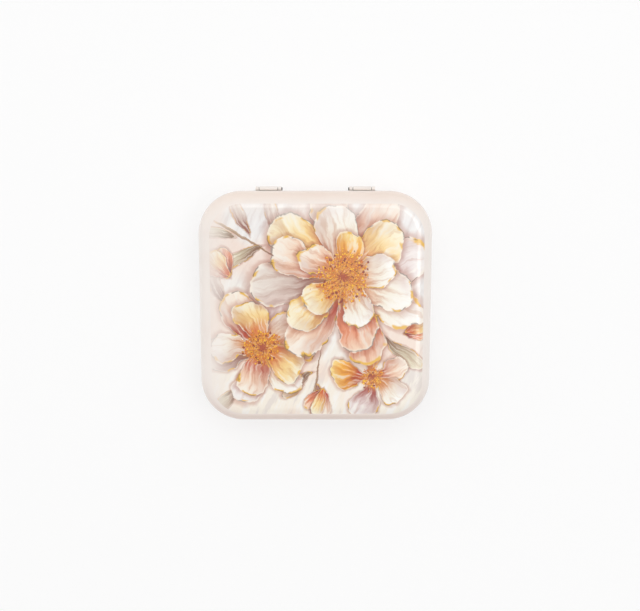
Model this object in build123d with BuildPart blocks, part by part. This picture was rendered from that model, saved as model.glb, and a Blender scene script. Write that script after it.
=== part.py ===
# Hinged square tin, pressed from tinplate: a shallow tray, a telescoping lid and two wire hinge pins.
# Millimetres. The tray stands on z = 0 with its middle over the origin, and the hinge side is +Y.
from build123d import *

import os
from math import pi, radians, sqrt

os.makedirs("parts", exist_ok=True)

# Tinplate
sheet = 0.3  # thickness of the plate

# Lid
lid_width = 70.0  # outside, both ways
lid_corner = 13.0  # outside corner, seen from above
shoulder = 4.8  # rounding between the top panel and the skirt
skirt_depth = 8.0  # top panel to the hem's edge
hem_height = 1.6  # skirt edge folded back inside itself
hem_chamfer = 0.15  # along both lower edges of the fold

# Tray
closed_height = 20.0  # table to the lid's top panel
lid_clearance = 0.5  # hem to tray wall, all round
closing_gap = 0.3  # rolled rim to the inside of the lid's shoulder
foot_radius = 2.5  # rounding between the bottom and the wall
rim_radius = 0.65  # outside of the rolled rim
rim_flats = 12  # flats that the roll is drawn with

# Stiffening bead pressed up in the bottom
bead_inset = 7.0  # wall to the middle of the bead
bead_width = 2.4  # across the groove, below
bead_height = 0.5
bead_slope = 0.5  # run of each sloping side

# Catch dimples pressed out of the tray's front wall, hidden behind the closed skirt
catch_spacing = 26.0
catch_height = 0.2
catch_radius = 1.2
catch_above_hem = 1.2  # hem's inner edge to the middle of a dimple

# Hinges: a lid tongue curls round each pin, between two narrow knuckles of the tray
hinge_spacing = 28.3  # middle to middle
tongue_width = 5.5
tongue_turn = 300  # degrees of curl
tongue_notch = 0.3  # break in the hem on each side of a tongue
tongue_play = 0.05  # curl to pin, radially
knuckle_width = 1.0
knuckle_turn = 240  # degrees of curl
knuckle_side_gap = 0.15  # knuckle to tongue
knuckle_slit = 0.2  # cut beside a knuckle's tab in the wall
knuckle_bend = 0.3  # inside radius where the tab leaves the wall
knuckle_to_hem = 0.35
pin_diameter = 0.9
pin_recess = 0.3  # pin's outer end to the knuckle's face
pin_stub = 0.3  # pin's inner end, past the knuckle towards the middle of the tin

# Levels and half widths that follow from the sizes above
lid_half = lid_width / 2
skirt_edge = closed_height - skirt_depth
hem_inner = lid_half - 2 * sheet
tray_half = hem_inner - lid_clearance
tray_corner = lid_corner - (lid_half - tray_half)

# The rim stops where its roll comes within the closing gap of the shoulder's inside.
rim_middle = tray_half - rim_radius
shoulder_reach = shoulder - sheet - closing_gap - rim_radius
rim_offset = rim_middle - (lid_half - shoulder)
rim_level = closed_height - shoulder + sqrt(shoulder_reach**2 - rim_offset**2)

dimple_radius = (catch_radius**2 + catch_height**2) / (2 * catch_height)

pin_radius = pin_diameter / 2
tongue_bore = pin_radius + tongue_play
knuckle_radius = pin_radius + sheet
hinge_y = lid_half + tongue_bore
hinge_z = skirt_edge - knuckle_to_hem - knuckle_radius
knuckle_offset = tongue_width / 2 + knuckle_side_gap + knuckle_width / 2
hinge_width = tongue_width + 2 * (knuckle_side_gap + knuckle_width)
hinge_places = (-hinge_spacing / 2, hinge_spacing / 2)


def rounded_square(half_width, corner):
    """Closed path round the tin, which starts in the middle of the +X side."""
    flat = half_width - corner
    with BuildLine() as quarter:
        Line((half_width, 0), (half_width, flat))
        CenterArc((flat, flat), corner, 0, 90)
        Line((flat, half_width), (0, half_width))
    with BuildLine() as path:
        with PolarLocations(0, 4):
            add(quarter.line)
    return path.wire()


hem_path = rounded_square(lid_half - sheet, lid_corner - sheet)
rim_path = rounded_square(rim_middle, tray_corner - rim_radius)
bead_path = rounded_square(tray_half - bead_inset, tray_corner - bead_inset)


# Lid: a drawn shell, its skirt hemmed inwards, with a curled tongue for each hinge
with BuildPart() as lid:
    with BuildSketch(Plane.XY.offset(skirt_edge + hem_chamfer)):
        RectangleRounded(lid_width, lid_width, lid_corner)
    extrude(amount=skirt_depth - hem_chamfer)
    fillet(lid.faces().sort_by(Axis.Z)[-1].edges(), radius=shoulder)
    offset(amount=-sheet, openings=lid.faces().sort_by(Axis.Z)[0])

    with BuildSketch(Plane.XZ) as hem:
        with Locations((hem_inner, skirt_edge)):
            Rectangle(2 * sheet, hem_height, align=(Align.MIN, Align.MIN))
        chamfer(hem.vertices().group_by(Axis.Y)[0], length=hem_chamfer)
    sweep(path=hem_path)

    # The fold is cut away where a tongue runs on down from the skirt.
    for x in hinge_places:
        with BuildSketch(Plane.YZ.offset(x)):
            with Locations((hem_inner, skirt_edge)):
                Rectangle(sheet, hem_height, align=(Align.MIN, Align.MIN))
                Rectangle(2 * sheet, hem_chamfer, align=(Align.MIN, Align.MIN))
        extrude(amount=tongue_width / 2 + tongue_notch, both=True, mode=Mode.SUBTRACT)
        with BuildSketch(Plane.YZ.offset(x)):
            with BuildLine():
                Line((lid_half - sheet / 2, skirt_edge + hem_height), (lid_half - sheet / 2, hinge_z))
                CenterArc((hinge_y, hinge_z), tongue_bore + sheet / 2, 180, tongue_turn)
            trace(line_width=sheet)
        extrude(amount=tongue_width / 2, both=True)

# Tray: a drawn shell with a rolled rim, a stiffening bead, catch dimples and struck-out hinge knuckles
with BuildPart() as base_tray:
    with BuildSketch():
        RectangleRounded(2 * tray_half, 2 * tray_half, tray_corner)
    extrude(amount=rim_level)
    fillet(base_tray.faces().sort_by(Axis.Z)[0].edges(), radius=foot_radius)
    offset(amount=-sheet, openings=base_tray.faces().sort_by(Axis.Z)[-1])

    # A dimple is domed outwards and hollow behind: a domed plug is added and the same dome cut inside.
    for x in (-catch_spacing / 2, catch_spacing / 2):
        dimple_middle = Vector(x, -tray_half, skirt_edge + hem_height + catch_above_hem)
        for inwards, mode in ((0, Mode.ADD), (sheet, Mode.SUBTRACT)):
            with BuildSketch(Plane(dimple_middle + (0, inwards, 0))):
                with BuildLine():
                    Line((0, -catch_height), (0, sheet))
                    Line((0, sheet), (catch_radius, sheet))
                    Line((catch_radius, sheet), (catch_radius, 0))
                    RadiusArc((catch_radius, 0), (0, -catch_height), dimple_radius)
                make_face()
            revolve(axis=Axis(dimple_middle, (0, 1, 0)), mode=mode)

    with BuildSketch(Plane.XZ):
        with Locations((rim_middle, rim_level)):
            RegularPolygon(rim_radius, rim_flats)
    sweep(path=rim_path)

    # The bead is pressed upwards: its ridge is added one sheet larger than its groove is cut.
    for over, mode in ((sheet, Mode.ADD), (0, Mode.SUBTRACT)):
        height = bead_height + over
        foot, top = bead_width / 2 + over, bead_width / 2 - bead_slope + over
        with BuildSketch(Plane.XZ):
            with Locations((tray_half - bead_inset, 0)):
                Polygon((-foot, 0), (foot, 0), (top, height), (-top, height), align=None)
        sweep(path=bead_path, mode=mode)

    # Each knuckle is a tab cut on three sides from the rear wall, bent out and curled over its pin.
    knuckle_line_radius = pin_radius + sheet / 2
    bend_line_radius = knuckle_bend + sheet / 2
    wall_line = tray_half - sheet / 2
    leg_level = hinge_z - knuckle_line_radius
    tab_root = leg_level - bend_line_radius
    leg_length = hinge_y - wall_line - bend_line_radius
    tab_length = leg_length + pi / 2 * bend_line_radius + radians(knuckle_turn) * knuckle_line_radius
    for x in hinge_places:
        with BuildSketch(Plane.XZ.offset(-tray_half)):
            with Locations((x - knuckle_offset, tab_root), (x + knuckle_offset, tab_root)):
                Rectangle(knuckle_width + 2 * knuckle_slit, tab_length, align=(Align.CENTER, Align.MIN))
        extrude(amount=sheet, mode=Mode.SUBTRACT)
        for tab_x in (x - knuckle_offset, x + knuckle_offset):
            with BuildSketch(Plane.YZ.offset(tab_x)):
                with BuildLine():
                    Line((wall_line, tab_root - sheet), (wall_line, tab_root))
                    CenterArc((wall_line + bend_line_radius, tab_root), bend_line_radius, 180, -90)
                    Line((hinge_y - leg_length, leg_level), (hinge_y, leg_level))
                    CenterArc((hinge_y, hinge_z), knuckle_line_radius, -90, knuckle_turn)
                trace(line_width=sheet)
            extrude(amount=knuckle_width / 2, both=True)


def hinge_pin(x):
    """Straight length of wire, seated in one hinge, with its inner end standing out."""
    inward = (pin_recess + pin_stub) / 2 * (-1 if x > 0 else 1)
    with BuildPart(Plane((x + inward, hinge_y, hinge_z))) as pin:
        Cylinder(pin_radius, hinge_width - pin_recess + pin_stub, rotation=(0, 90, 0))
    return pin


left_hinge_pin, right_hinge_pin = (hinge_pin(x) for x in hinge_places)

lid.part.label = "lid"
base_tray.part.label = "base_tray"
left_hinge_pin.part.label = "left_hinge_pin"
right_hinge_pin.part.label = "right_hinge_pin"

export_step(lid.part, "parts/lid.step")
export_step(base_tray.part, "parts/base_tray.step")
export_step(left_hinge_pin.part, "parts/left_hinge_pin.step")
export_step(right_hinge_pin.part, "parts/right_hinge_pin.step")
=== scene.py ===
from math import atan2, cos, hypot, pi, radians, sin

import bmesh
import bpy
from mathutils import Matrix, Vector

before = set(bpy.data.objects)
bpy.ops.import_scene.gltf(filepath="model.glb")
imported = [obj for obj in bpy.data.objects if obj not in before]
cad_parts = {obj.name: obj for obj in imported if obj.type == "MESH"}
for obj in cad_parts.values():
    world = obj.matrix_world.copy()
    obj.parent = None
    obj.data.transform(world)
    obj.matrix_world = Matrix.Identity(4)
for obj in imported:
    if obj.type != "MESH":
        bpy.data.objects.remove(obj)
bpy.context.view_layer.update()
print("frame loaded:", sorted(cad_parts))

mm = 0.001  # patterns are worked out in millimetres, the scene in metres


def plug(tree, socket, value):
    if isinstance(value, bpy.types.NodeSocket):
        tree.links.new(value, socket)
    elif value is not None:
        socket.default_value = value


def maths(tree, operation, a, b=None, c=None, clamp=False):
    node = tree.nodes.new("ShaderNodeMath")
    node.operation = operation
    node.use_clamp = clamp
    for socket, value in zip(node.inputs, (a, b, c)):
        plug(tree, socket, value)
    return node.outputs[0]


def vectors(tree, operation, a, b=None, c=None, scale=None):
    node = tree.nodes.new("ShaderNodeVectorMath")
    node.operation = operation
    for socket, value in zip(node.inputs, (a, b, c, scale)):
        plug(tree, socket, value)
    return node.outputs["Value" if operation in ("LENGTH", "DOT_PRODUCT", "DISTANCE") else "Vector"]


def joinXyz(tree, x=0.0, y=0.0, z=0.0):
    node = tree.nodes.new("ShaderNodeCombineXYZ")
    for socket, value in zip(node.inputs, (x, y, z)):
        plug(tree, socket, value)
    return node.outputs[0]


def splitXyz(tree, vector):
    node = tree.nodes.new("ShaderNodeSeparateXYZ")
    plug(tree, node.inputs[0], vector)
    return node.outputs


def splitColour(tree, colour):
    node = tree.nodes.new("ShaderNodeSeparateColor")
    plug(tree, node.inputs[0], colour)
    return node.outputs


# A smooth step from low to high, while value goes from start to end.
def fade(tree, value, start, end, low=0.0, high=1.0):
    node = tree.nodes.new("ShaderNodeMapRange")
    node.interpolation_type = "SMOOTHSTEP"
    for socket, number in zip(node.inputs, (value, start, end, low, high)):
        plug(tree, socket, number)
    return node.outputs[0]


def mixed(tree, factor, a, b, blend="MIX"):
    node = tree.nodes.new("ShaderNodeMix")
    node.data_type = "RGBA"
    node.blend_type = blend
    plug(tree, node.inputs[0], factor)
    plug(tree, node.inputs[6], a)
    plug(tree, node.inputs[7], b)
    return node.outputs[2]


def noise(tree, vector, scale, detail=2.0, roughness=0.5, output="Fac", flat=False):
    node = tree.nodes.new("ShaderNodeTexNoise")
    node.noise_dimensions = "2D" if flat else "3D"
    plug(tree, node.inputs["Vector"], vector)
    plug(tree, node.inputs["Scale"], scale)
    plug(tree, node.inputs["Detail"], detail)
    plug(tree, node.inputs["Roughness"], roughness)
    return node.outputs[output]


def turned(tree, vector, angle):
    node = tree.nodes.new("ShaderNodeVectorRotate")
    node.rotation_type = "Z_AXIS"
    plug(tree, node.inputs["Vector"], vector)
    plug(tree, node.inputs["Angle"], angle)
    return node.outputs[0]


def newGroup(name, inputs, outputs):
    tree = bpy.data.node_groups.new(name, "ShaderNodeTree")
    for label, kind, default in inputs:
        socket = tree.interface.new_socket(label, in_out="INPUT", socket_type="NodeSocket" + kind)
        if default is not None:
            socket.default_value = default
    for label, kind in outputs:
        tree.interface.new_socket(label, in_out="OUTPUT", socket_type="NodeSocket" + kind)
    enter = tree.nodes.new("NodeGroupInput")
    leave = tree.nodes.new("NodeGroupOutput")
    return tree, enter.outputs, leave.inputs


def place(tree, group, **values):
    node = tree.nodes.new("ShaderNodeGroup")
    node.node_tree = group
    for label, value in values.items():
        plug(tree, node.inputs[label], value)
    return node.outputs


# A screen colour from 0 to 255, as the linear colour that a shader takes.
def tint(red, green, blue):
    screen = [v / 255 for v in (red, green, blue)]
    return [v / 12.92 if v <= 0.04045 else ((v + 0.055) / 1.055) ** 2.4 for v in screen] + [1.0]


# Wet paint: the place shifts a little with the colour that lies there. It also makes Cycles work out
# one layer after the other, because a long pattern all at once is more than its memory holds.
def bleed(tree, at, under):
    return vectors(tree, "MULTIPLY_ADD", under, (0.5, 0.5, 0.0), at)


petalBrush = {
    "streakShade": tint(216, 178, 156),
    "streakLight": tint(251, 244, 234),
    "turnedAway": tint(208, 170, 164),  # the side of a petal that lies out of the light
    "rim": tint(251, 240, 225),
    "gilt": tint(233, 180, 30),
    "giltStrength": 0.9,
    "ink": tint(92, 50, 40),
    "castShade": tint(202, 150, 130),  # what a petal throws on the layers below it
    "castStrength": 0.6,
    "swayTurn": 2.4,  # each petal's seed turns the sway and moves the streaks by these
    "streakMove": 3.7,
}


# One painted petal, laid over what is already on the panel. Inside is 0 along its outline.
def petalGroup():
    tree, given, result = newGroup(
        "petal",
        [
            ("Place", "Vector", None),
            ("Swirl", "Vector", None),
            ("Veins", "Vector", None),
            ("Root", "Vector", (0, 0, 0)),
            ("Turn", "Float", 0.0),
            ("Long", "Float", 18.0),
            ("Wide", "Float", 16.0),
            ("Bend", "Float", 0.0),
            ("Ruffle", "Vector", (1, 1, 0)),
            ("Seed", "Float", 0.0),
            ("Heart", "Color", (1, 1, 1, 1)),
            ("Body", "Color", (1, 1, 1, 1)),
            ("Tip", "Color", (1, 1, 1, 1)),
            ("Under", "Color", (1, 1, 1, 1)),
        ],
        [("Colour", "Color")],
    )
    at = vectors(tree, "SUBTRACT", bleed(tree, given["Place"], given["Under"]), given["Root"])
    swayTurn = maths(tree, "MULTIPLY", given["Seed"], petalBrush["swayTurn"])
    sway = turned(tree, bleed(tree, given["Swirl"], given["Under"]), swayTurn)
    at = vectors(tree, "MULTIPLY_ADD", sway, given["Ruffle"], at)
    local = splitXyz(tree, turned(tree, at, maths(tree, "MULTIPLY", given["Turn"], -1.0)))

    along = maths(tree, "MULTIPLY", local[0], maths(tree, "DIVIDE", 1.0, given["Long"]))
    curve = maths(tree, "MULTIPLY", maths(tree, "MULTIPLY", along, along), given["Bend"])
    across = maths(tree, "MULTIPLY_ADD", local[1], maths(tree, "DIVIDE", 2.0, given["Wide"]), curve)
    widthAt = maths(tree, "MAXIMUM", maths(tree, "MULTIPLY_ADD", along, 0.66, 0.36), 0.05)
    spread = maths(tree, "DIVIDE", across, widthAt)
    reach = maths(tree, "MULTIPLY_ADD", along, 1.92, -1.0)
    outline = maths(tree, "MULTIPLY_ADD", spread, spread, maths(tree, "MULTIPLY", reach, reach))
    inside = maths(tree, "SUBTRACT", 1.0, outline)

    shift = maths(tree, "MULTIPLY", given["Seed"], petalBrush["streakMove"])
    brushAlong = maths(tree, "MULTIPLY_ADD", along, 1.5, shift)
    brushAcross = maths(tree, "MULTIPLY_ADD", spread, 3.6, shift)
    streak = noise(tree, joinXyz(tree, brushAlong, brushAcross, 0.0), 1.0, 3.0, 0.58, flat=True)
    veins = splitXyz(tree, given["Veins"])
    tone = maths(tree, "MULTIPLY_ADD", streak, 0.5, along)
    paint = mixed(tree, fade(tree, tone, 0.36, 0.96), given["Heart"], given["Body"])
    paint = mixed(tree, fade(tree, tone, 0.84, 1.26), paint, given["Tip"])
    dark = fade(tree, streak, 0.50, 0.30, high=0.4)
    paint = mixed(tree, dark, paint, petalBrush["streakShade"], "MULTIPLY")
    paint = mixed(tree, fade(tree, streak, 0.53, 0.70, high=0.5), paint, petalBrush["streakLight"])
    lee = fade(tree, maths(tree, "ADD", spread, veins[2]), 0.3, 1.5, high=0.55)
    paint = mixed(tree, lee, paint, petalBrush["turnedAway"], "MULTIPLY")

    paint = mixed(tree, fade(tree, inside, 0.20, 0.04, high=0.7), paint, petalBrush["rim"])
    gilt = fade(tree, inside, 0.22, 0.12, high=petalBrush["giltStrength"])
    paint = mixed(tree, maths(tree, "MULTIPLY", gilt, veins[0]), paint, petalBrush["gilt"])
    ink = maths(tree, "MULTIPLY", fade(tree, inside, 0.10, 0.04), veins[1])
    paint = mixed(tree, ink, paint, petalBrush["ink"])

    cast = fade(tree, inside, -0.5, 0.0, high=petalBrush["castStrength"])
    under = mixed(tree, cast, given["Under"], petalBrush["castShade"], "MULTIPLY")
    plug(tree, result["Colour"], mixed(tree, fade(tree, inside, -0.02, 0.03), under, paint))
    return tree


stamenBrush = {
    "glow": tint(238, 172, 70),
    "thread": tint(200, 116, 16),
    "heart": tint(160, 46, 12),
    "pollenLight": tint(254, 208, 34),
    "pollenDark": tint(224, 130, 8),
    "pollenRipe": tint(140, 34, 12),
    "pollenEdge": tint(206, 116, 40),
    "threads": 5.5,  # how finely the threads are split round the heart
    "anthers": ((1.1, 0.30, 1.12, 0.95), (1.9, 0.10, 0.86, 0.9)),  # dots a mm, inner, outer, strength
}


# Filaments and pollen-heavy anthers round a blossom's heart.
def stamenGroup():
    tree, given, result = newGroup(
        "stamens",
        [
            ("Place", "Vector", None),
            ("Swirl", "Vector", None),
            ("Heart", "Vector", (0, 0, 0)),
            ("Reach", "Float", 5.0),
            ("Seed", "Float", 0.0),
            ("Under", "Color", (1, 1, 1, 1)),
        ],
        [("Colour", "Color")],
    )
    at = bleed(tree, given["Place"], given["Under"])
    away = vectors(tree, "ADD", vectors(tree, "SUBTRACT", at, given["Heart"]), given["Swirl"])
    shift = joinXyz(tree, given["Seed"], maths(tree, "MULTIPLY", given["Seed"], 1.7), 0.0)
    heading = vectors(tree, "SCALE", vectors(tree, "NORMALIZE", away), scale=stamenBrush["threads"])
    ray = noise(tree, vectors(tree, "ADD", heading, shift), 1.0, 2.0, 0.6, flat=True)
    far = maths(tree, "DIVIDE", vectors(tree, "LENGTH", away), given["Reach"])
    far = maths(tree, "MULTIPLY_ADD", maths(tree, "SUBTRACT", ray, 0.5), -0.6, far)

    glow = maths(tree, "MULTIPLY", fade(tree, far, 1.25, 0.2), 0.8)
    paint = mixed(tree, glow, given["Under"], stamenBrush["glow"])
    threads = maths(tree, "MULTIPLY", fade(tree, ray, 0.47, 0.58), fade(tree, far, 1.0, 0.7))
    paint = mixed(tree, maths(tree, "MULTIPLY", threads, 0.9), paint, stamenBrush["thread"])
    heart = maths(tree, "MULTIPLY", fade(tree, far, 0.42, 0.12), 0.9)
    paint = mixed(tree, heart, paint, stamenBrush["heart"])

    spot = vectors(tree, "ADD", at, shift)
    for size, inner, outer, strength in stamenBrush["anthers"]:
        cells = tree.nodes.new("ShaderNodeTexVoronoi")
        cells.voronoi_dimensions = "2D"
        plug(tree, cells.inputs["Vector"], spot)
        plug(tree, cells.inputs["Scale"], size)
        pick = splitColour(tree, cells.outputs["Color"])
        ring = fade(tree, far, outer, outer - 0.3)
        ring = maths(tree, "MULTIPLY", fade(tree, far, inner, inner + 0.25), ring)
        there = maths(tree, "LESS_THAN", pick[0], maths(tree, "MULTIPLY", ring, 0.85))
        dot = maths(tree, "MULTIPLY", fade(tree, cells.outputs["Distance"], 0.50, 0.34), there)
        tone = fade(tree, pick[1], 0.2, 0.8)
        pollen = mixed(tree, tone, stamenBrush["pollenLight"], stamenBrush["pollenDark"])
        pollen = mixed(tree, fade(tree, pick[2], 0.80, 0.86), pollen, stamenBrush["pollenRipe"])
        edge = fade(tree, cells.outputs["Distance"], 0.18, 0.40)
        pollen = mixed(tree, edge, pollen, stamenBrush["pollenEdge"], "MULTIPLY")
        paint = mixed(tree, maths(tree, "MULTIPLY", dot, strength), paint, pollen)
    plug(tree, result["Colour"], paint)
    return tree


lacquerCoat = {
    "cloudScale": 0.09,  # clouds, specks and ripples a mm
    "cloudShade": tint(238, 214, 204),
    "speckScale": 3.2,
    "speckShade": tint(205, 186, 176),
    "speckStrength": 0.1,
    "rippleScale": 0.75,
    "roughness": (0.29, 0.38),  # under 0.275 in places, the denoiser would draw the clouds' outlines
}


# Baked lacquer on tinplate: a breath of mottling, and the faint orange peel of a sprayed coat.
def lacquerGroup():
    tree, given, result = newGroup(
        "lacquer",
        [("Place", "Vector", None), ("Colour", "Color", (1, 1, 1, 1)), ("Mottle", "Float", 0.3)],
        [("Colour", "Color"), ("Roughness", "Float"), ("Height", "Float")],
    )
    cloud = noise(tree, given["Place"], lacquerCoat["cloudScale"], 3.0, 0.6)
    speck = noise(tree, given["Place"], lacquerCoat["speckScale"], 2.0, 0.7)
    veil = maths(tree, "MULTIPLY", fade(tree, cloud, 0.40, 0.68), given["Mottle"])
    paint = mixed(tree, veil, given["Colour"], lacquerCoat["cloudShade"], "MULTIPLY")
    fleck = fade(tree, speck, 0.62, 0.74, high=lacquerCoat["speckStrength"])
    paint = mixed(tree, fleck, paint, lacquerCoat["speckShade"], "MULTIPLY")
    plug(tree, result["Colour"], paint)
    plug(tree, result["Roughness"], fade(tree, cloud, 0.35, 0.70, *lacquerCoat["roughness"]))
    plug(tree, result["Height"], noise(tree, given["Place"], lacquerCoat["rippleScale"], 2.0, 0.5))
    return tree


petal = petalGroup()
stamens = stamenGroup()
lacquer = lacquerGroup()
print("pattern groups made")


def newMaterial(name):
    material = bpy.data.materials.new(name)
    material.use_nodes = True
    tree = material.node_tree
    return material, tree, tree.nodes["Principled BSDF"]


# Object coordinates in millimetres, and the object's own normal.
def placeInMm(tree):
    coords = tree.nodes.new("ShaderNodeTexCoord")
    return vectors(tree, "SCALE", coords.outputs["Object"], scale=1 / mm), coords.outputs["Normal"]


def bumpFrom(tree, shader, height, strength, depth):
    bump = tree.nodes.new("ShaderNodeBump")
    bump.inputs["Strength"].default_value = strength
    bump.inputs["Distance"].default_value = depth
    plug(tree, bump.inputs["Height"], height)
    tree.links.new(bump.outputs[0], shader.inputs["Normal"])


printSheet = {
    "middle": (0.5, -0.4),  # of the printed square, mm
    "half": 31.8,  # half its side
    "corner": 10.0,
    "lowest": 15.0,  # height of the print's lowest point on the shoulder
    "washDark": tint(240, 237, 235),
    "washLight": tint(248, 239, 225),
    "washBlush": tint(245, 216, 198),
    "strokeLight": tint(250, 247, 243),
    "strokeDark": tint(218, 206, 202),
    "swirl": 3.4,  # how far petals sway from their plain shape, and how far edges jitter, mm
    "jitter": 0.5,
}

petalPaints = {
    "cream": (tint(212, 92, 10), tint(248, 214, 144), tint(252, 242, 212)),
    "blush": (tint(192, 66, 28), tint(243, 206, 178), tint(251, 238, 222)),
    "pearl": (tint(212, 132, 60), tint(247, 238, 222), tint(253, 250, 244)),
    "lilac": (tint(170, 76, 64), tint(232, 216, 212), tint(247, 241, 237)),
    "rose": (tint(132, 8, 0), tint(228, 136, 94), tint(246, 212, 184)),
    "amber": (tint(180, 36, 0), tint(245, 172, 50), tint(252, 222, 142)),
    "leaf": (tint(146, 112, 84), tint(212, 198, 170), tint(236, 226, 202)),
    "dusk": (tint(156, 100, 84), tint(218, 198, 186), tint(238, 228, 218)),
    "stem": (tint(156, 116, 88), tint(178, 146, 116), tint(186, 158, 128)),
}

# Each blossom: heart, rows of (count, first turn, long, wide, paints), reach of its stamens.
blossoms = [
    {
        "heart": (17.5, -20.5),
        "rows": [(5, 0.5, 10.5, 10.5, ("blush", "pearl", "amber", "lilac", "pearl"))],
        "stamens": 3.6,
    },
    {
        "heart": (-16.0, -11.5),
        "rows": [
            (6, 0.1, 15.5, 13.0, ("dusk", "lilac", "blush", "dusk", "lilac", "pearl")),
            (5, 0.7, 13.0, 13.0, ("pearl", "cream", "pearl", "blush", "cream")),
        ],
        "stamens": 5.6,
    },
    {
        "heart": (8.5, 9.5),
        "rows": [
            (8, 0.2, 24.0, 16.0, ("lilac", "blush", "pearl", "cream", "dusk", "blush", "rose", "pearl")),
            (6, 0.75, 19.5, 15.5, ("cream", "pearl", "blush", "cream", "rose", "pearl")),
            (5, 0.15, 13.0, 12.0, ("pearl", "amber", "blush", "cream", "pearl")),
        ],
        "stamens": 8.2,
    },
]

# Loose petals: root, turn in degrees, long, wide, bend, paint.
sprigs = [
    ((-8, 14), 148, 24, 1.0, 0.9, "stem"),
    ((-15, 19), 205, 12, 5.0, 0.3, "leaf"),
    ((-19, 23), 120, 11, 4.6, -0.3, "dusk"),
    ((-23, 22), 170, 10, 4.8, 0.2, "leaf"),
    ((-10, 20), 100, 13, 5.2, 0.3, "dusk"),
    ((2, -12), 262, 20, 1.0, -0.6, "stem"),
    ((0, -19), 215, 12, 4.8, 0.3, "leaf"),
    ((1, -22), 285, 11, 4.6, -0.2, "dusk"),
    ((20, -8), 320, 15, 6.0, 0.3, "leaf"),
    ((-22, -22), 235, 12, 5.4, -0.3, "leaf"),
    ((-27, 2), 110, 13, 5.0, 0.3, "dusk"),
]

# Buds: root, turn in degrees, long.
buds = [((-25, 10), 128, 9.5), ((3, -24), 250, 8.5), ((27, -7), 20, 7.5)]


# The flower print, as a colour over the whole panel.
def paintPanel(tree, at):
    across = splitXyz(tree, at)
    flat = joinXyz(tree, across[0], across[1], 0.0)
    middle = (0.5, 0.5, 0.5)
    swirl = splitColour(tree, noise(tree, flat, 0.15, 2.0, 0.5, "Color", flat=True))
    swirl = vectors(tree, "SUBTRACT", joinXyz(tree, swirl[0], swirl[1], 0.5), middle)
    swirl = vectors(tree, "SCALE", swirl, scale=printSheet["swirl"])
    veins = splitColour(tree, noise(tree, flat, 0.22, 1.0, 0.5, "Color", flat=True))
    gilded = fade(tree, veins[0], 0.50, 0.60)
    inked = fade(tree, veins[1], 0.48, 0.55, high=0.7)
    veins = joinXyz(tree, gilded, inked, veins[2])
    dab = splitColour(tree, noise(tree, flat, 0.8, 2.0, 0.6, "Color", flat=True))
    dab = vectors(tree, "SUBTRACT", joinXyz(tree, dab[0], dab[1], 0.5), middle)
    sheet = vectors(tree, "ADD", flat, vectors(tree, "SCALE", dab, scale=printSheet["jitter"]))

    def addPetal(under, root, turn, size, kind, seed, bend=0.0, ruffle=1.0):
        heart, body, tip = petalPaints[kind]
        return place(
            tree, petal, Place=sheet, Swirl=swirl, Veins=veins, Root=(*root, 0.0), Turn=turn, Long=size[0],
            Wide=size[1], Bend=-bend, Ruffle=(ruffle, ruffle, 0), Seed=seed, Heart=heart, Body=body,
            Tip=tip, Under=under,
        )["Colour"]

    slope = maths(tree, "MULTIPLY_ADD", across[0], 0.35, across[1])
    paint = mixed(tree, fade(tree, slope, -30, 26), printSheet["washLight"], printSheet["washDark"])
    stretched = vectors(tree, "MULTIPLY", turned(tree, sheet, radians(-68)), (0.07, 0.36, 1.0))
    wash = noise(tree, stretched, 1.0, 3.0, 0.6, flat=True)
    paint = mixed(tree, fade(tree, wash, 0.50, 0.66, high=0.7), paint, printSheet["strokeLight"])
    paint = mixed(tree, fade(tree, wash, 0.48, 0.32, high=0.5), paint, printSheet["strokeDark"])
    cloud = noise(tree, flat, 0.045, 1.0, 0.5, flat=True)
    paint = mixed(tree, fade(tree, cloud, 0.46, 0.62, high=0.6), paint, printSheet["washBlush"])

    seed = 0.0
    for root, turn, length, width, bend, kind in sprigs:
        seed += 1.0
        ruffle = 0.25 if kind == "stem" else 0.6
        paint = addPetal(paint, root, radians(turn), (length, width), kind, seed, bend, ruffle)
    for root, turn, length in buds:
        for swing, kind, part in ((-22, "rose", 0.9), (24, "blush", 0.92), (0, "cream", 1.0)):
            seed += 1.0
            size = (length * part, length * 0.62)
            paint = addPetal(paint, root, radians(turn + swing), size, kind, seed, 0.0, 0.5)
    for blossom in blossoms:
        heart = blossom["heart"]
        for count, firstTurn, length, width, kinds in blossom["rows"]:
            for i in range(count):
                seed += 1.0
                turn = firstTurn + 2 * pi * i / count + 0.16 * sin(5.3 * seed)
                size = (length * (1 + 0.08 * cos(3.1 * seed)), width * (1 + 0.10 * sin(7.7 * seed)))
                root = (heart[0] + 0.1 * length * cos(turn), heart[1] + 0.1 * length * sin(turn))
                paint = addPetal(paint, root, turn, size, kinds[i % len(kinds)], seed, 0.22 * sin(seed))
        paint = place(
            tree, stamens, Place=sheet, Swirl=swirl, Heart=(*heart, 0), Reach=blossom["stamens"], Seed=seed,
            Under=paint,
        )["Colour"]
    return paint


# 1 inside the printed rounded square, 0 outside. Towards the left and the rear it fades, so the print shows
# less there.
def printMask(tree, at):
    across = splitXyz(tree, vectors(tree, "SUBTRACT", at, (*printSheet["middle"], 0.0)))
    corner = printSheet["corner"]
    straight = printSheet["half"] - corner
    over = [maths(tree, "SUBTRACT", maths(tree, "ABSOLUTE", axis), straight) for axis in across[:2]]
    outer = joinXyz(tree, maths(tree, "MAXIMUM", over[0], 0.0), maths(tree, "MAXIMUM", over[1], 0.0))
    inner = maths(tree, "MINIMUM", maths(tree, "MAXIMUM", over[0], over[1]), 0.0)
    edge = maths(tree, "ADD", vectors(tree, "LENGTH", outer), inner)
    crisp = fade(tree, edge, corner + 0.1, corner - 0.1)
    left = fade(tree, across[0], -33.0, -23.0, 0.2, 1.0)
    rear = fade(tree, across[1], 32.0, 25.0, 0.5, 1.0)
    return maths(tree, "MULTIPLY", crisp, maths(tree, "MULTIPLY", left, rear))


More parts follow.
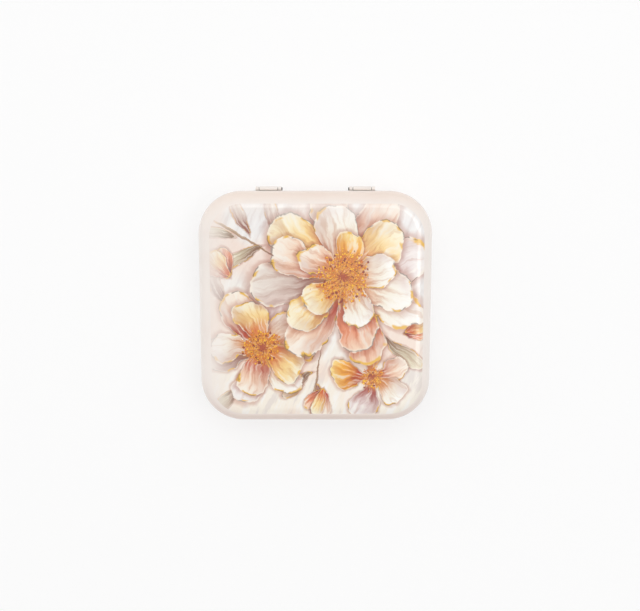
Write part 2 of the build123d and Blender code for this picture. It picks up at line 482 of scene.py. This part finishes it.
coat = {
    "outside": tint(244, 235, 228),
    # Painted shade: the walls that face the front and the rear are written darker and pinker than the
    # sides, for how the light falls on them.
    "frontWallShade": tint(240, 217, 205),
    "rearWallShade": tint(235, 218, 206),
    "inside": tint(238, 231, 224),
    "curl": tint(236, 229, 223),
    "mottle": 0.1,
    "rippleStrength": 0.4,
    "rippleDepth": 0.00003,
    "clear": 0.6,  # the clear coat over it, and how rough that is
    "clearRoughness": 0.14,
    "bareSteel": tint(206, 201, 196),
}

# Each shell: its material, the height of its middle, where its rear wall ends, if it has the print.
shells = {
    "lid": ("printedPlate", 15.0, 34.6, True),
    "base_tray": ("blushPlate", 9.0, 33.95, False),
}


# 1 where the plate faces out of the tin, 0 where it faces in.
def faces(tree, at, normal, middle):
    fromMiddle = vectors(tree, "SUBTRACT", at, (0, 0, middle))
    return fade(tree, vectors(tree, "DOT_PRODUCT", fromMiddle, normal), -0.2, 0.2)


# Bare steel on the sheared sides of the hinge tongues and knuckles.
def cutEdge(tree, at, normal, wallY):
    sideways = fade(tree, maths(tree, "ABSOLUTE", splitXyz(tree, normal)[0]), 0.85, 0.95)
    return maths(tree, "MULTIPLY", sideways, maths(tree, "GREATER_THAN", splitXyz(tree, at)[1], wallY))


def plateMaterial(name, middle, wallY, printed):
    material, tree, shader = newMaterial(name)
    at, normal = placeInMm(tree)
    outward = faces(tree, at, normal, middle)
    # Painted shade: the lacquer darkens where the plate faces the front or the rear, for how the light
    # falls on those walls.
    rearward = splitXyz(tree, normal)[1]
    colour = mixed(tree, fade(tree, rearward, 0.0, -1.0), coat["outside"], coat["frontWallShade"])
    colour = mixed(tree, fade(tree, rearward, 0.0, 1.0), colour, coat["rearWallShade"])
    colour = mixed(tree, outward, coat["inside"], colour)
    curled = fade(tree, splitXyz(tree, at)[1], wallY + 0.6, wallY + 1.0)
    colour = mixed(tree, curled, colour, coat["curl"])
    coated = place(tree, lacquer, Place=at, Colour=colour, Mottle=coat["mottle"])
    paint = coated["Colour"]
    if printed:
        lowest = printSheet["lowest"]
        high = fade(tree, splitXyz(tree, at)[2], lowest, lowest + 0.5)
        top = maths(tree, "MULTIPLY", outward, high)
        paint = mixed(tree, maths(tree, "MULTIPLY", printMask(tree, at), top), paint, paintPanel(tree, at))
    bare = cutEdge(tree, at, normal, wallY)
    tree.links.new(mixed(tree, bare, paint, coat["bareSteel"]), shader.inputs["Base Color"])
    tree.links.new(bare, shader.inputs["Metallic"])
    tree.links.new(coated["Roughness"], shader.inputs["Roughness"])
    shader.inputs["Coat Weight"].default_value = coat["clear"]
    shader.inputs["Coat Roughness"].default_value = coat["clearRoughness"]
    bumpFrom(tree, shader, coated["Height"], coat["rippleStrength"], coat["rippleDepth"])
    return material


# Drawn steel wire, its colour darkened as painted shade, so that the pin ends show as dark dots at the
# barrels' ends.
pinWire = {
    "dark": tint(56, 50, 46),
    "light": tint(98, 90, 84),
    "grain": (0.4, 9.0, 9.0),  # drawing lines a mm, along and across the wire
    "roughness": (0.29, 0.42),
    "grainStrength": 0.2,
    "grainDepth": 0.00001,
}


def wireMaterial():
    material, tree, shader = newMaterial("drawnWire")
    at = placeInMm(tree)[0]
    drawn = noise(tree, vectors(tree, "MULTIPLY", at, pinWire["grain"]), 1.0, 3.0, 0.6)
    steel = mixed(tree, fade(tree, drawn, 0.35, 0.7), pinWire["dark"], pinWire["light"])
    tree.links.new(steel, shader.inputs["Base Color"])
    shader.inputs["Metallic"].default_value = 1.0
    tree.links.new(fade(tree, drawn, 0.3, 0.7, *pinWire["roughness"]), shader.inputs["Roughness"])
    bumpFrom(tree, shader, drawn, pinWire["grainStrength"], pinWire["grainDepth"])
    return material


def dress(node, material):
    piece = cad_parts[node]
    piece.data.materials.clear()
    piece.data.materials.append(material)


for node, shell in shells.items():
    dress(node, plateMaterial(*shell))
wire = wireMaterial()
for pin in ("left_hinge_pin", "right_hinge_pin"):
    dress(pin, wire)
print("tin dressed")


studio = {
    "floorHalf": 2.0,  # metres, as all places and sizes here
    "floorColour": tint(254, 254, 254),
    "floorGlow": 0.56,
    "skyBehind": 0.84,
    "skyInFront": 0.4,
    "keyPlace": (0.22, 0.0, 0.66),
    "keySize": (0.3, 0.3),
    "keyWatts": 0.5,
    "backPlace": (0.0, 0.42, 0.95),
    "backSize": (1.0, 0.6),
    "backWatts": 2.0,
    "leftPlace": (-0.85, 0.05, 0.4),
    "leftSize": (0.6, 0.5),
    "leftWatts": 0.5,
}

# Panels that only the lacquer mirrors: place, width along X, width along Y, watts.
sheens = {
    "rightSheen": ((0.255, -0.0225, 0.66), 0.28, 0.305, 0.95),
    "rearSheen": ((0.0, 0.145, 0.66), 0.24, 0.16, 0.26),
    "frontSheen": ((0.005, -0.55, 0.29), 0.14, 0.055, 0.11),
}


# 1 for rays that come from the camera, a reflection or glass.
def seenDirectly(tree):
    path = tree.nodes.new("ShaderNodeLightPath")
    seen = maths(tree, "MAXIMUM", path.outputs["Is Camera Ray"], path.outputs["Is Glossy Ray"])
    return maths(tree, "MAXIMUM", seen, path.outputs["Is Transmission Ray"])


def makeFloor():
    sheet = bmesh.new()
    bmesh.ops.create_grid(sheet, x_segments=1, y_segments=1, size=studio["floorHalf"])
    mesh = bpy.data.meshes.new("floor")
    sheet.to_mesh(mesh)
    sheet.free()
    floor = bpy.data.objects.new("floor", mesh)
    bpy.context.scene.collection.objects.link(floor)
    material, tree, shader = newMaterial("paperFloor")
    shader.inputs["Base Color"].default_value = studio["floorColour"]
    shader.inputs["Roughness"].default_value = 0.9
    shader.inputs["Specular IOR Level"].default_value = 0.1
    glow = tree.nodes.new("ShaderNodeEmission")
    blend = tree.nodes.new("ShaderNodeMixShader")
    tree.links.new(maths(tree, "MULTIPLY", seenDirectly(tree), studio["floorGlow"]), blend.inputs[0])
    tree.links.new(shader.outputs[0], blend.inputs[1])
    tree.links.new(glow.outputs[0], blend.inputs[2])
    tree.links.new(blend.outputs[0], tree.nodes["Material Output"].inputs[0])
    mesh.materials.append(material)


def makeSky():
    world = bpy.data.worlds.new("sky")
    world.use_nodes = True
    tree = world.node_tree
    background = tree.nodes["Background"]
    background.inputs["Color"].default_value = (1, 1, 1, 1)
    towards = tree.nodes.new("ShaderNodeTexCoord")
    back = splitXyz(tree, towards.outputs["Generated"])[1]
    sky = fade(tree, back, -0.8, 0.25, studio["skyInFront"], studio["skyBehind"])
    tree.links.new(maths(tree, "MAXIMUM", seenDirectly(tree), sky), background.inputs["Strength"])
    bpy.context.scene.world = world


# An area lamp, as wide as size along X and Y, that faces the tin. It lights, is mirrored, or both.
def areaLamp(name, at, size, watts, lights=True, mirrored=True):
    lamp = bpy.data.lights.new(name, "AREA")
    lamp.shape = "RECTANGLE"
    lamp.size, lamp.size_y = size
    lamp.energy = watts
    holder = bpy.data.objects.new(name, lamp)
    holder.location = at
    x, y, z = Vector(at) - Vector((0, 0, 0.01))
    holder.rotation_euler = (atan2(-y, hypot(x, z)), atan2(x, z), 0)
    holder.visible_diffuse = lights
    holder.visible_glossy = mirrored
    bpy.context.scene.collection.objects.link(holder)


view = {
    "lens": 50.0,
    "distance": 0.268,
    "tilt": radians(8.7),
    "target": (0.0014, 0.00075, 0.017),
}


def makeCamera():
    camera = bpy.data.cameras.new("camera")
    camera.lens = view["lens"]
    camera.sensor_width = 36.0
    camera.clip_start = 0.01
    holder = bpy.data.objects.new("camera", camera)
    x, y, z = view["target"]
    away = view["distance"]
    holder.location = (x, y + away * sin(view["tilt"]), z + away * cos(view["tilt"]))
    holder.rotation_euler = (-view["tilt"], 0, 0)
    bpy.context.scene.collection.objects.link(holder)
    bpy.context.scene.camera = holder


makeFloor()
makeSky()
areaLamp("keyLamp", studio["keyPlace"], studio["keySize"], studio["keyWatts"], mirrored=False)
areaLamp("backLamp", studio["backPlace"], studio["backSize"], studio["backWatts"], mirrored=False)
areaLamp("leftLamp", studio["leftPlace"], studio["leftSize"], studio["leftWatts"], mirrored=False)
for name, (at, wide, deep, watts) in sheens.items():
    areaLamp(name, at, (wide, deep), watts, lights=False)
makeCamera()
bpy.context.scene.view_settings.view_transform = "Standard"
print("studio set")
